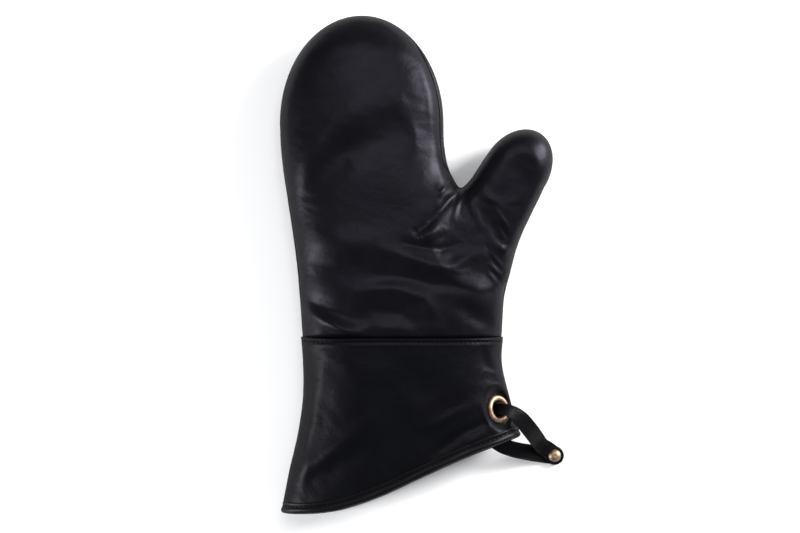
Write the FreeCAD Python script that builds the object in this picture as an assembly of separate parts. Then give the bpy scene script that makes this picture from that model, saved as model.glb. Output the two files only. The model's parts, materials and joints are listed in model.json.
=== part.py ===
"""Leather oven mitt, lying palm down: a padded hand with a thumb, a flared cuff with a bound
hem, and a leather hanging loop that swings in a brass eyelet. Millimetres, +Z up, +Y towards
the fingertips, +X towards the thumb. The origin is on the table under the middle of the mitt."""
import FreeCAD
import Part
import os
from math import cos, hypot, radians, sin

V = FreeCAD.Vector

# ---- Layers of the wall, from the outside in -------------------------------------------------
LEATHER = 1.2
BATTING = 2.6
LINING = 0.7
TAPE = 1.0  # leather of the hem binding
SIDE_SHARE = 0.7  # the padding thins to this share of itself towards the side seams

# Depth of each surface below the outside of the hand leather
CUFF_OUT = -LEATHER
HAND_OUT = 0.0
HAND_IN = LEATHER
LINING_OUT = LEATHER + BATTING
LINING_IN = LINING_OUT + LINING
BIND_OUT = CUFF_OUT - TAPE
BIND_IN = LINING_IN + TAPE

# ---- Plump shape -----------------------------------------------------------------------------
SEAM_Z = 18.0  # the side seam runs round the mitt in this plane
PLUMPNESS = 3.5  # the height falls off as 1 - u ** PLUMPNESS, u running from 0 to 1 at the seam
GRID = 6.0  # spacing of the surface's control grid
GRID_X = (-120.0, 114.0)
GRID_Y = (-208.0, 188.0)
CROTCH = 0.30  # softness of the blend between the hand and the thumb

# ---- Hand and cuff: y, left edge, right edge, height above the seam, depth below it ------------
STATIONS = [
    (-210.0, -105.4, 96.0, 18.0, 17.0),
    (-172.0, -98.2, 84.0, 20.5, 17.5),
    (-145.0, -93.0, 75.5, 22.0, 18.0),
    (-118.0, -86.8, 66.9, 23.5, 18.5),
    (-92.0, -83.2, 59.5, 25.0, 19.0),
    (-68.0, -83.2, 54.2, 26.0, 19.5),
    (-46.0, -84.9, 55.4, 27.0, 19.5),
    (-22.0, -86.6, 56.6, 28.0, 19.5),
    (2.0, -88.8, 56.5, 28.0, 19.5),
    (26.0, -92.0, 48.0, 28.0, 19.5),
    (48.0, -95.4, 30.0, 27.5, 19.5),
    (66.0, -98.1, 18.8, 27.0, 19.5),
    (84.0, -100.0, 15.0, 26.5, 19.5),
    (100.0, -100.6, 14.4, 26.0, 19.5),
]
FINGERS_Y = 100.0  # the fingers end in half an ellipse from here on
FINGERS_LENGTH = 75.4

# ---- Thumb, in its own frame: how far along, centre line, half width ---------------------------
THUMB_AT = (66.0, 66.9)
THUMB_LEAN = 33.0
THUMB_LENGTH = 30.7
THUMB_TOP = 20.0
THUMB_BOTTOM = 16.5
THUMB_ROOT = 60.0  # the thumb fades into the hand from here back
THUMB_FADE = 34.0
THUMB_STATIONS = [
    (-140.0, 2.0, 30.0),
    (-70.0, 0.4, 36.0),
    (-60.0, -0.7, 34.0),
    (-50.0, -1.1, 31.6),
    (-40.0, -0.3, 28.5),
    (-32.0, 0.5, 26.2),
    (-24.0, 0.9, 24.8),
    (-16.0, 0.5, 24.2),
    (-8.0, 0.0, 23.8),
    (0.0, -0.5, 23.1),
]

# ---- Cuff ------------------------------------------------------------------------------------
CUFF_Y = -50.0  # folded edge of the cuff, where it laps over the hand
LAP = 8.0  # how far the hand runs on under the cuff
RAMP = 14.0  # length over which the underside steps up for the cuff and for the binding
RAMP_HEM_Y = -94.0
TOPSTITCH_DROP = 2.8  # stitch row below that edge
HEM = [
    (-140.0, -166.0),
    (-112.0, -171.5),
    (-86.0, -174.2),
    (-60.0, -171.8),
    (-30.0, -162.0),
    (0.0, -148.2),
    (30.0, -134.8),
    (62.0, -122.2),
    (90.0, -111.0),
    (130.0, -95.0),
]
MOUTH_LEAN = 0.12  # the lower wall reaches further out: millimetres per millimetre of height
BINDING_WIDTH = 7.4
HEM_STITCH = 4.6  # stitch row above the bound edge

# ---- Stitches --------------------------------------------------------------------------------
STITCH_PITCH = 3.6
STITCH_LENGTH = 2.6
STITCH_WIDTH = 0.8
STITCH_RISE = 0.5
ROW_MARGIN = 5.0  # rows stop short of the side seam
OVERLOCK_PITCH = 8.0
OVERLOCK_HEIGHT = 2.4
OVERLOCK_INSET = 2.6

# ---- Eyelet ----------------------------------------------------------------------------------
EYELET_SEAT = V(52.2, -100.2, 29.8)  # where its axis meets the leather
EYELET_AXIS = V(0.66, 0.18, 0.73)
EYELET_R = 10.0
BORE_R = 6.0
BARREL_R = 6.7
FLANGE_H = 1.9
WASHER_R = 8.6
WASHER_H = 0.8
RIM_R = 7.8
RIM_H = 0.8
SEAT_R = 12.0
SEAT_STACK = {CUFF_OUT: 0.0, HAND_OUT: 1.2, LINING_OUT: 2.2, LINING_IN: 2.9}  # squeezed layers

# ---- Hanging loop: one strap, out through the bore, down to the rivet and back inside ----------
STRAP = 1.6
STRAP_WIDTH = 11.2
STRAP_WAIST = 8.6  # it draws together where it goes through the bore
TAB_R = 6.6
TAB_REACH = 7.0  # flat length between the rivet and the bend
RIVET_AT = V(93.6, -135.0, 0.0)
TAB_GAP = 0.1
RIVET_R = 4.5
RIVET_CAP_H = 2.0
RIVET_SHANK_R = 1.6
RIVET_FOOT_R = 4.0
RIVET_FOOT_H = 0.9
# Path of the strap: out from the bore towards the rivet, across, and along the eyelet's axis
OUTER_LEG = [
    (48.0, -1.4, -0.6),
    (40.0, -2.2, 3.6),
    (31.0, -2.6, 7.4),
    (22.0, -2.2, 9.8),
    (14.0, -1.4, 10.8),
    (7.4, -0.6, 10.0),
    (2.8, -0.2, 7.8),
    (0.6, 0.0, 4.2),
]
INNER_LEG = [
    (0.0, 0.0, 0.0),
    (0.2, -0.2, -5.6),
    (1.6, -3.0, -10.2),
    (5.6, -8.0, -13.0),
    (13.0, -12.0, -14.0),
    (22.0, -13.6, -12.8),
    (32.0, -12.4, -10.4),
    (41.0, -8.4, -7.8),
    (48.6, -3.6, -5.6),
]

FAR = 400.0


def blend(stations, at):
    """Smooth interpolation of every column of a table by its first one."""
    i = 0
    while i < len(stations) - 2 and at > stations[i + 1][0]:
        i += 1
    a, b = stations[i], stations[i + 1]
    before = stations[max(i - 1, 0)]
    after = stations[min(i + 2, len(stations) - 1)]
    span = b[0] - a[0]
    t = min(max((at - a[0]) / span, 0.0), 1.0)
    row = []
    for n in range(1, len(a)):
        slope_a = (b[n] - before[n]) / (b[0] - before[0]) * span
        slope_b = (after[n] - a[n]) / (after[0] - a[0]) * span
        rise = b[n] - a[n]
        bend = (slope_a + slope_b - 2 * rise) * t + 3 * rise - 2 * slope_a - slope_b
        row.append(a[n] + t * (slope_a + t * bend))
    return row


def soft_min(a, b, k):
    h = max(k - abs(a - b), 0.0) / k
    return min(a, b) - h * h * k / 4


def side_inset(inset):
    return SIDE_SHARE * inset if inset > 0 else inset


def rise(x, y, inset, column):
    """Height of the surface over the seam plane; it goes negative outside the outline."""
    narrow = side_inset(inset)
    row = blend(STATIONS, min(y, FINGERS_Y))
    half = (row[1] - row[0]) / 2 - narrow
    hand = ((x - (row[0] + row[1]) / 2) / half) ** 2
    if y > FINGERS_Y:
        hand += ((y - FINGERS_Y) / (FINGERS_LENGTH - narrow)) ** 2
    hand = hand ** (PLUMPNESS / 2)

    lean = radians(THUMB_LEAN)
    dx, dy = x - THUMB_AT[0], y - THUMB_AT[1]
    along = dx * sin(lean) + dy * cos(lean)
    middle, half = blend(THUMB_STATIONS, along)
    digit = ((dx * cos(lean) - dy * sin(lean) - middle) / (half - narrow)) ** 2
    if along > 0:
        digit += (along / (THUMB_LENGTH - narrow)) ** 2
    if along < -THUMB_ROOT:
        digit += ((along + THUMB_ROOT) / THUMB_FADE) ** 2
    digit = digit ** (PLUMPNESS / 2)

    share = min(max(0.5 + (hand - digit) / 1.2, 0.0), 1.0)
    share = share * share * (3 - 2 * share)
    thumb_height = THUMB_TOP if column == 2 else THUMB_BOTTOM
    height = row[column] * (1 - share) + thumb_height * share - inset
    fullness = 1 - soft_min(hand, digit, CROTCH)
    if fullness < -1:
        fullness = -2 + 1 / -fullness
    return height * fullness


def surface(inset, column):
    """The whole back (column 2) or palm (column 3) surface as one spline face."""
    nx = int(round((GRID_X[1] - GRID_X[0]) / GRID)) + 1
    ny = int(round((GRID_Y[1] - GRID_Y[0]) / GRID)) + 1
    up = 1 if column == 2 else -1
    rows = []
    for j in range(ny):
        y = GRID_Y[0] + j * GRID
        row = []
        for i in range(nx):
            x = GRID_X[0] + i * GRID
            row.append(V(x, y, SEAM_Z + up * rise(x, y, inset, column)))
        rows.append(row)
    sheet = Part.BSplineSurface()
    sheet.interpolate(rows)
    return sheet.toShape()


def palm_trim(inset):
    """Everything between the table and the seam, stepped up under the cuff and the binding."""
    cuff = inset + LEATHER + STITCH_RISE + 0.1
    hem = cuff + TAPE
    outline = [
        (-FAR, hem),
        (RAMP_HEM_Y - RAMP, hem),
        (RAMP_HEM_Y, cuff),
        (CUFF_Y, cuff),
        (CUFF_Y + RAMP, inset),
        (FAR, inset),
        (FAR, SEAM_Z),
        (-FAR, SEAM_Z),
        (-FAR, hem),
    ]
    face = Part.Face(Part.makePolygon([V(-FAR, y, z) for y, z in outline]))
    return face.extrude(V(2 * FAR, 0, 0))


def half_mitt(side, inset):
    """Solid half of the mitt, back or palm, inset by so many millimetres."""
    if side == "palm":
        return surface(inset, 3).extrude(V(0, 0, 120)).common(palm_trim(inset))
    half = surface(inset, 2).extrude(V(0, 0, -120))
    if inset in SEAT_STACK:
        floor = EYELET_SEAT - AXIS * SEAT_STACK[inset]
        half = half.cut(Part.makeCylinder(SEAT_R + side_inset(inset), 30, floor, AXIS))
        half = half.fuse(Part.makeCylinder(SEAT_R - side_inset(inset), 7, floor - AXIS * 7, AXIS))
    return half.common(Part.makeBox(2 * FAR, 2 * FAR, FAR, V(-FAR, -FAR, SEAM_Z)))


def hem_point(x, offset):
    """Point on the hem moved in by offset along its normal, and the hem's direction there."""
    y = blend(HEM, x)[0]
    run = V(2.0, blend(HEM, x + 1)[0] - blend(HEM, x - 1)[0], 0).normalize()
    return V(x - run.y * offset, y + run.x * offset, SEAM_Z), run


def above_hem(offset):
    """Everything on the hand's side of the hem moved in by offset."""
    points = [hem_point(x, offset)[0] for x in range(-136, 127, 8)]
    curve = Part.BSplineCurve()
    curve.interpolate(points)
    corners = [points[-1], V(FAR, points[-1].y, SEAM_Z), V(FAR, FAR, SEAM_Z)]
    corners += [V(-FAR, FAR, SEAM_Z), V(-FAR, points[0].y, SEAM_Z), points[0]]
    face = Part.Face(Part.Wire([curve.toShape()] + Part.makePolygon(corners).Edges))
    lean = V(0, MOUTH_LEAN, 1) * 60
    face.translate(lean * -1)
    return face.extrude(lean * 2)


def band(low, high):
    """Slab between two values of y."""
    return Part.makeBox(2 * FAR, high - low, 2 * FAR, V(-FAR, low, -FAR))


def resting_height(x, y, inset, side):
    """Height of the back or palm surface, and its outward normal."""
    column = 2 if side == "back" else 3
    up = 1 if side == "back" else -1
    high = rise(x, y, inset, column)
    slope_x = (rise(x + 0.5, y, inset, column) - rise(x - 0.5, y, inset, column)) * up
    slope_y = (rise(x, y + 0.5, inset, column) - rise(x, y - 0.5, inset, column)) * up
    if side == "back":
        return SEAM_Z + high, V(-slope_x, -slope_y, 1).normalize()
    floor = inset + LEATHER + STITCH_RISE + 0.1
    if y < RAMP_HEM_Y - RAMP:
        floor += TAPE
    if SEAM_Z - high <= floor:
        return floor, V(0, 0, -1)
    return SEAM_Z - high, V(slope_x, slope_y, -1).normalize()


def stitch(x, y, run, inset, side, inward=False):
    """One stitch lying on the surface, or under it where it shows on the lining."""
    z, out = resting_height(x, y, inset, side)
    if inward:
        out = out * -1
    ahead = (run - out * run.dot(out)).normalize()
    across = out.cross(ahead)
    corner = V(x, y, z) + out * 0.02 - ahead * (STITCH_LENGTH / 2) - across * (STITCH_WIDTH / 2)
    block = Part.makeBox(STITCH_LENGTH, STITCH_WIDTH, STITCH_RISE - 0.02)
    axes = FreeCAD.Matrix(
        ahead.x, across.x, out.x, corner.x,
        ahead.y, across.y, out.y, corner.y,
        ahead.z, across.z, out.z, corner.z,
        0, 0, 0, 1,
    )
    block.Placement = FreeCAD.Placement(axes)
    return block


def cuff_row(side):
    left, right = blend(STATIONS, CUFF_Y)[:2]
    count = int((right - left - 2 * ROW_MARGIN) / STITCH_PITCH)
    start = (left + right - (count - 1) * STITCH_PITCH) / 2
    y = CUFF_Y - TOPSTITCH_DROP
    return [stitch(start + i * STITCH_PITCH, y, V(1, 0, 0), CUFF_OUT, side) for i in range(count)]


def hem_row(side, inset, margin, inward=False):
    lean = MOUTH_LEAN * (10.0 if side == "back" else -14.0)
    row = []
    x = blend(STATIONS, -170.0)[0] + margin
    while True:
        point, run = hem_point(x, HEM_STITCH)
        if point.x > blend(STATIONS, point.y)[1] - margin:
            return row
        row.append(stitch(point.x, point.y + lean, run, inset, side, inward))
        x += STITCH_PITCH * run.x


def seam_row(outline):
    """Short upright bars that bridge the lining's seam, evenly round its inside."""
    bars = []
    for edge in outline:
        count = max(int(edge.Length / OVERLOCK_PITCH), 1)
        first, last = edge.ParameterRange
        for i in range(count):
            at = first + (last - first) * (i + 0.5) / count
            point, ahead = edge.valueAt(at), edge.tangentAt(at)
            inward = V(-ahead.y, ahead.x, 0).normalize() * OVERLOCK_INSET
            if rise(point.x + inward.x, point.y + inward.y, LINING_IN, 2) < 0:
                inward = inward * -1
            foot = point + inward - V(0, 0, OVERLOCK_HEIGHT / 2)
            bars.append(Part.makeCylinder(STITCH_WIDTH / 2, OVERLOCK_HEIGHT, foot))
    return bars


def ring_at(profile, place):
    """Revolve a closed (radius, height) outline about the eyelet's axis or the rivet's."""
    edges = []
    for item in profile:
        ends = [V(r, 0, z) for r, z in item]
        edges.append(Part.makeLine(*ends) if len(ends) == 2 else Part.Arc(*ends).toShape())
    solid = Part.Face(Part.Wire(edges)).revolve(V(0, 0, 0), V(0, 0, 1), 360)
    solid.Placement = place
    return Part.makeSolid(solid) if not solid.Solids else solid.Solids[0]


def eyelet():
    foot = -SEAT_STACK[LINING_IN] - WASHER_H
    lip = foot - RIM_H
    return [
        [(BORE_R, lip), (BORE_R, 0.2)],
        [(BORE_R, 0.2), ((BORE_R + EYELET_R) / 2, FLANGE_H), (EYELET_R, 0.0)],
        [(EYELET_R, 0.0), (BARREL_R, 0.0)],
        [(BARREL_R, 0.0), (BARREL_R, foot)],
        [(BARREL_R, foot), (RIM_R, foot)],
        [(RIM_R, foot), ((BORE_R + RIM_R) / 2, lip - 0.25), (BORE_R, lip)],
    ]


def washer():
    top = -SEAT_STACK[LINING_IN]
    corners = [(BARREL_R, top), (WASHER_R, top), (WASHER_R, top - WASHER_H), (BARREL_R, top - WASHER_H)]
    return [[corners[i], corners[(i + 1) % 4]] for i in range(4)]


def loop_frame():
    """Directions of the loop: from the bore to the rivet, across the strap, and the axis."""
    middle = RIVET_AT + V(0, 0, RIVET_FOOT_H + STRAP) - EYELET_SEAT
    out = (middle - AXIS * middle.dot(AXIS)).normalize()
    return out, AXIS.cross(out)


def tab(z, level, flat):
    """Flat round end of the strap, as far as TAB_REACH from the rivet."""
    half = flat * (STRAP_WIDTH / 2)
    base = RIVET_AT + V(0, 0, z - STRAP / 2)
    far = base - level * TAB_REACH
    plate = Part.Face(Part.makePolygon([base + half, base - half, far - half, far + half, base + half]))
    return plate.extrude(V(0, 0, STRAP)).fuse(Part.makeCylinder(TAB_R, STRAP, base)).removeSplitter()


def joint_area():
    return STRAP * STRAP_WIDTH


def is_joint(face, level):
    """The end of a tab that the bent part of the strap carries on from."""
    centre = face.CenterOfMass - RIVET_AT
    return abs(face.Area - joint_area()) < 0.1 and abs(centre.dot(level) + TAB_REACH) < 0.1


def strap():
    out, across = loop_frame()
    level = V(out.x, out.y, 0).normalize()
    flat = V(0, 0, 1).cross(level)
    lower = RIVET_FOOT_H + STRAP / 2
    upper = lower + STRAP + TAB_GAP
    path = [(RIVET_AT + V(0, 0, upper) - level * TAB_REACH, flat, STRAP_WIDTH)]
    for r, v, s in OUTER_LEG + INNER_LEG:
        point = EYELET_SEAT + out * r + across * v + AXIS * s
        twist = min(max((r - 2.0) / 16.0, 0.0), 1.0)
        width = STRAP_WAIST + (STRAP_WIDTH - STRAP_WAIST) * min(hypot(r, s) / 12.0, 1.0) ** 2
        path.append((point, (across * (1 - twist) + flat * twist).normalize(), width))
    path.append((RIVET_AT + V(0, 0, lower) - level * TAB_REACH, flat, STRAP_WIDTH))
    line = Part.BSplineCurve()
    line.interpolate([row[0] for row in path])
    sections = []
    for i, (point, side, width) in enumerate(path):
        ahead = line.tangent(line.parameter(point))[0]
        if i in (0, len(path) - 1):
            ahead = level * (1 if i else -1)
        side = (side - ahead * side.dot(ahead)).normalize() * (width / 2)
        thick = ahead.cross(side).normalize() * (STRAP / 2)
        corners = [point + side + thick, point - side + thick, point - side - thick, point + side - thick]
        sections.append(Part.makePolygon(corners + corners[:1]))
    faces = [face for face in Part.makeLoft(sections, True, False).Faces if face.Area > 2 * joint_area()]
    for z in (lower, upper):
        end = tab(z, level, flat).cut(Part.makeCylinder(RIVET_SHANK_R, 20, RIVET_AT))
        faces += [face for face in end.Faces if not is_joint(face, level)]
    shell = Part.makeShell(faces)
    shell.sewShape()
    return Part.makeSolid(shell.Shells[0])


def lies_on_seam(edge):
    """True for the edges where the two halves of the lining meet, not for the mouth."""
    middle = edge.valueAt(sum(edge.ParameterRange) / 2)
    return abs(rise(middle.x, middle.y, LINING_IN, 2)) < 0.5


def build():
    cuff = band(-FAR, CUFF_Y)
    under_lap = band(CUFF_Y - LAP, FAR)
    wall = above_hem(TAPE)
    bound = above_hem(0.0).cut(above_hem(BINDING_WIDTH))
    parts = {}
    for side in ("back", "palm"):
        solid = {d: half_mitt(side, d) for d in (CUFF_OUT, HAND_OUT, HAND_IN, LINING_OUT, LINING_IN)}
        parts[side + "_hand_panel"] = solid[HAND_OUT].cut(solid[HAND_IN]).common(under_lap)
        cuff_panel = solid[CUFF_OUT].cut(solid[HAND_OUT]).common(cuff)
        parts[side + "_cuff_panel"] = cuff_panel.common(wall)
        under_hand = solid[HAND_IN].fuse(solid[HAND_OUT].common(band(-FAR, CUFF_Y - LAP)))
        parts[side + "_batting"] = under_hand.cut(solid[LINING_OUT]).common(wall)
        parts[side + "_lining"] = solid[LINING_OUT].cut(solid[LINING_IN]).common(wall)
        tape = half_mitt(side, BIND_OUT).cut(half_mitt(side, BIND_IN)).common(bound)
        parts[side + "_tape"] = tape.cut(solid[CUFF_OUT].cut(solid[LINING_IN]).common(wall))
        parts[side + "_cuff_topstitch"] = Part.makeCompound(cuff_row(side))
        if side == "back":
            hollow = solid[LINING_IN].common(above_hem(BINDING_WIDTH + 3))
            rim = [e for e in hollow.section(SEAM_PLANE).Edges if lies_on_seam(e)]
    parts["hem_binding"] = Part.makeCompound([parts.pop("back_tape"), parts.pop("palm_tape")])
    outer = hem_row("back", BIND_OUT, ROW_MARGIN + 3) + hem_row("palm", BIND_OUT, ROW_MARGIN + 3)
    parts["hem_topstitch"] = Part.makeCompound(outer)
    inner = hem_row("back", BIND_IN, ROW_MARGIN + 13, True) + hem_row("palm", BIND_IN, ROW_MARGIN + 13, True)
    parts["hem_inner_stitch"] = Part.makeCompound(inner)
    parts["lining_seam_thread"] = Part.makeCompound(seam_row(rim))

    barrel = Part.makeCylinder(BARREL_R, 30, EYELET_SEAT - AXIS * 12, AXIS)
    for name in ("back_cuff_panel", "back_batting", "back_lining"):
        parts[name] = parts[name].cut(barrel)
    tilt = FreeCAD.Placement(EYELET_SEAT, FreeCAD.Rotation(V(0, 0, 1), AXIS))
    parts["eyelet"] = ring_at(eyelet(), tilt)
    parts["eyelet_washer"] = ring_at(washer(), tilt)

    parts["hanging_strap"] = strap()
    top = RIVET_FOOT_H + 2 * STRAP + TAB_GAP
    cap = [
        [(0, top), (0, top + RIVET_CAP_H)],
        [(0, top + RIVET_CAP_H), (RIVET_R * 0.72, top + RIVET_CAP_H * 0.74), (RIVET_R, top)],
        [(RIVET_R, top), (0, top)],
    ]
    upright = FreeCAD.Placement(RIVET_AT, FreeCAD.Rotation())
    parts["rivet_cap"] = ring_at(cap, upright)
    foot = Part.makeCylinder(RIVET_FOOT_R, RIVET_FOOT_H, RIVET_AT)
    parts["rivet_post"] = foot.fuse(Part.makeCylinder(RIVET_SHANK_R, top, RIVET_AT)).removeSplitter()
    return parts


AXIS = V(EYELET_AXIS).normalize()
SEAM_PLANE = Part.makePlane(2 * FAR, 2 * FAR, V(-FAR, -FAR, SEAM_Z))

os.makedirs("parts", exist_ok=True)
for name, shape in build().items():
    shape.exportStep("parts/" + name + ".step")
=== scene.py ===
import json
import math
import bpy
import numpy as np
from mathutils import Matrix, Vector, geometry, kdtree


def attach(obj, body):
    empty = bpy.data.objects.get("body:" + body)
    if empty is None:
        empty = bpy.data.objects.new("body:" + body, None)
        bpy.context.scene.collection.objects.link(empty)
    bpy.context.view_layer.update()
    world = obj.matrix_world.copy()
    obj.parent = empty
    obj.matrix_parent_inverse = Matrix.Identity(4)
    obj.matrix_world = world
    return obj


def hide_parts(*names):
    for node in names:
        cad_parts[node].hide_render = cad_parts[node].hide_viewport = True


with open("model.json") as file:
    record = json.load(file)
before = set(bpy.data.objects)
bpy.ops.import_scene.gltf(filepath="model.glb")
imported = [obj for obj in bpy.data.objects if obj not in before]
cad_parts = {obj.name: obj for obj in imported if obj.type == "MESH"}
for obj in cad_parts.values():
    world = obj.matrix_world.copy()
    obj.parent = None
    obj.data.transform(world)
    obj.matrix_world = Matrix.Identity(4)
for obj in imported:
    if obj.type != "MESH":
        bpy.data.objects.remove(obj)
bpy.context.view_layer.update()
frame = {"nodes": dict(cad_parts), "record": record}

# Millimetres here; meshes are scaled to metres when they are made.
MM = 0.001
SEAM_Z = 18.0  # height of the side seam
CUFF_Y = -50.0  # folded edge of the cuff
LAP = 7.0  # how far the hand runs on under the cuff
CUFF_OUT = -1.2  # the cuff lies this far outside the hand
LINING_IN = 4.5  # depth of the lining's inner face
SIDE_SHARE = 0.7  # the layers thin to this share towards the side seams
PLUMPNESS = 3.5
CROTCH = 0.30  # softness of the blend between the hand and the thumb
FINGERS_Y = 100.0
FINGERS_LENGTH = 75.4
MOUTH_LEAN = 0.12  # the mouth's plane leans by this much for each millimetre of height
MOUTH_RISE = 12.0  # usual height of the mouth's edges above and below the seam
SEAT_DROP = 0.12  # the leather under the eyelet lies this far below its seat
INNER_SINK = 1.7  # the lining and padding are lowered by this, clear of the creases
INNER_HOLE_R = 8.2

# Fullness of each panel: the lower, the steeper it falls to its seam
CUFF_POWER = 0.56
PALM_POWER = 0.72
PALM_CUFF_POWER = 0.92
INNER_POWER = 0.95

# Mesh sizes: the field of a visible, a lower and an inner panel, and steps along the outlines
FINE = 1.35
MEDIUM = 2.0
COARSE = 3.0
OUTLINE_STEP = 2.0
SEAM_STEP = 1.3
DENSE_STEP = 0.3
INNER_STEP = 2.4
BINDING_STEP = 1.1
STRAP_STEP = 0.8
CORNER_GAP = 0.6

# Stitches: spacing in the cuff's row and the hem's, and how far in from the edge each row runs
CUFF_PITCH = 3.45
HEM_PITCH = 3.4
CUFF_ROW = 2.8
HEM_ROW = 4.6

# y, left edge, right edge, height above the seam, depth below it
STATIONS = np.array([
    (-210.0, -105.4, 96.0, 18.0, 17.0), (-172.0, -98.2, 84.0, 20.5, 17.5),
    (-145.0, -93.0, 75.5, 22.0, 18.0), (-118.0, -86.8, 66.9, 23.5, 18.5),
    (-92.0, -83.2, 59.5, 25.0, 19.0), (-68.0, -83.2, 54.2, 26.0, 19.5),
    (-46.0, -84.9, 55.4, 27.0, 19.5), (-22.0, -86.6, 56.6, 28.0, 19.5),
    (2.0, -88.8, 56.5, 28.0, 19.5), (26.0, -92.0, 48.0, 28.0, 19.5),
    (48.0, -95.4, 30.0, 27.5, 19.5), (66.0, -98.1, 18.8, 27.0, 19.5),
    (84.0, -100.0, 15.0, 26.5, 19.5), (100.0, -100.6, 14.4, 26.0, 19.5),
])
THUMB_AT = (66.0, 66.9)
THUMB_LEAN = math.radians(33.0)
THUMB_LENGTH = 30.7
THUMB_HEIGHTS = (20.0, 16.5)
THUMB_ROOT = 60.0
THUMB_FADE = 34.0
THUMB_STATIONS = np.array([
    (-140.0, 2.0, 30.0), (-70.0, 0.4, 36.0), (-60.0, -0.7, 34.0), (-50.0, -1.1, 31.6), (-40.0, -0.3, 28.5),
    (-32.0, 0.5, 26.2), (-24.0, 0.9, 24.8), (-16.0, 0.5, 24.2), (-8.0, 0.0, 23.8), (0.0, -0.5, 23.1),
])
HEM = np.array([
    (-140.0, -166.0), (-112.0, -171.5), (-86.0, -174.2), (-60.0, -171.8), (-30.0, -162.0),
    (0.0, -148.2), (30.0, -134.8), (62.0, -122.2), (90.0, -111.0), (130.0, -95.0),
])

# The eyelet's seat and axis come from the record's joint.
hinge = frame["record"]["behaviour"]["joints"][0]
SEAT = np.array(hinge["pos_m"]) / MM
AXIS = np.array(hinge["axis"]) / np.linalg.norm(hinge["axis"])

rng = np.random.default_rng(7)


# ---- the plump shape ----
def smooth(t):
    """Ease from 0 to 1."""
    t = np.clip(t, 0.0, 1.0)
    return t * t * (3 - 2 * t)


def blend(table, at, column):
    """Smooth interpolation of one column of a table by its first one."""
    xs, ys = table[:, 0], table[:, column]
    at = np.asarray(at, float)
    i = np.clip(np.searchsorted(xs[1:-1], at), 0, len(xs) - 2)
    before, after = np.maximum(i - 1, 0), np.minimum(i + 2, len(xs) - 1)
    span = xs[i + 1] - xs[i]
    t = np.clip((at - xs[i]) / span, 0.0, 1.0)
    slope_a = (ys[i + 1] - ys[before]) / (xs[i + 1] - xs[before]) * span
    slope_b = (ys[after] - ys[i]) / (xs[after] - xs[i]) * span
    rise = ys[i + 1] - ys[i]
    bend = (slope_a + slope_b - 2 * rise) * t + 3 * rise - 2 * slope_a - slope_b
    return ys[i] + t * (slope_a + t * bend)


def field(x, y, inset, side):
    """Full height there, and how full the shape is: 1 in the middle, 0 at the seam."""
    narrow = SIDE_SHARE * inset if inset > 0 else 0.0
    at = np.minimum(y, FINGERS_Y)
    left, right = blend(STATIONS, at, 1), blend(STATIONS, at, 2)
    if inset < 0:
        left, right = left + inset, right - inset
    hand = ((x - (left + right) / 2) / ((right - left) / 2 - narrow)) ** 2
    hand = hand + (np.maximum(y - FINGERS_Y, 0.0) / (FINGERS_LENGTH - narrow)) ** 2
    hand = hand ** (PLUMPNESS / 2)
    dx, dy = x - THUMB_AT[0], y - THUMB_AT[1]
    along = dx * math.sin(THUMB_LEAN) + dy * math.cos(THUMB_LEAN)
    middle, half = blend(THUMB_STATIONS, along, 1), blend(THUMB_STATIONS, along, 2)
    digit = ((dx * math.cos(THUMB_LEAN) - dy * math.sin(THUMB_LEAN) - middle) / (half - narrow)) ** 2
    digit = digit + (np.maximum(along, 0.0) / (THUMB_LENGTH - narrow)) ** 2
    digit = digit + (np.minimum(along + THUMB_ROOT, 0.0) / THUMB_FADE) ** 2
    digit = digit ** (PLUMPNESS / 2)
    share = smooth(0.5 + (hand - digit) / 1.2)
    full = blend(STATIONS, at, 3 if side > 0 else 4)
    height = full * (1 - share) + THUMB_HEIGHTS[0 if side > 0 else 1] * share - inset
    round_off = CROTCH * (1 + 1.4 * smooth((-along - 30) / 34))
    k = np.maximum(round_off - np.abs(hand - digit), 0.0) / round_off
    return height, 1 - (np.minimum(hand, digit) - k * k * round_off / 4)


def outline(inset):
    """The seam, from the left end of the mouth round the fingers and thumb to its right end."""
    xs, ys = np.arange(-114.0, 106.0, OUTLINE_STEP), np.arange(-186.0, 184.0, OUTLINE_STEP)
    grid_x, grid_y = np.meshgrid(xs, ys)
    full = field(grid_x, grid_y, inset, 1)[1]
    links = {}
    for j in range(len(ys) - 1):
        for i in range(len(xs) - 1):
            corners = [(i, j), (i + 1, j), (i + 1, j + 1), (i, j + 1)]
            signs = [full[b, a] > 0 for a, b in corners]
            around = [(n, (n + 1) % 4) for n in range(4)]
            cut = [tuple(sorted((corners[a], corners[b]))) for a, b in around if signs[a] != signs[b]]
            if len(cut) == 2:
                links.setdefault(cut[0], []).append(cut[1])
                links.setdefault(cut[1], []).append(cut[0])
    start = min((key for key, near in links.items() if len(near) == 1), key=lambda key: key[0][0])
    chain, last = [start], None
    while True:
        ahead = [key for key in links[chain[-1]] if key != last]
        if not ahead:
            break
        last = chain[-1]
        chain.append(ahead[0])
    points = []
    for a, b in chain:
        fa, fb = full[a[1], a[0]], full[b[1], b[0]]
        t = fa / (fa - fb)
        points.append((xs[a[0]] + t * (xs[b[0]] - xs[a[0]]), ys[a[1]] + t * (ys[b[1]] - ys[a[1]])))
    points = np.array(points)
    for _ in range(3):
        value = field(points[:, 0], points[:, 1], inset, 1)[1]
        gx = (field(points[:, 0] + 0.2, points[:, 1], inset, 1)[1] - value) / 0.2
        gy = (field(points[:, 0], points[:, 1] + 0.2, inset, 1)[1] - value) / 0.2
        size = np.maximum(gx * gx + gy * gy, 1e-9)
        points -= np.stack([gx, gy], 1) * (value / size)[:, None]
    return points


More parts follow.
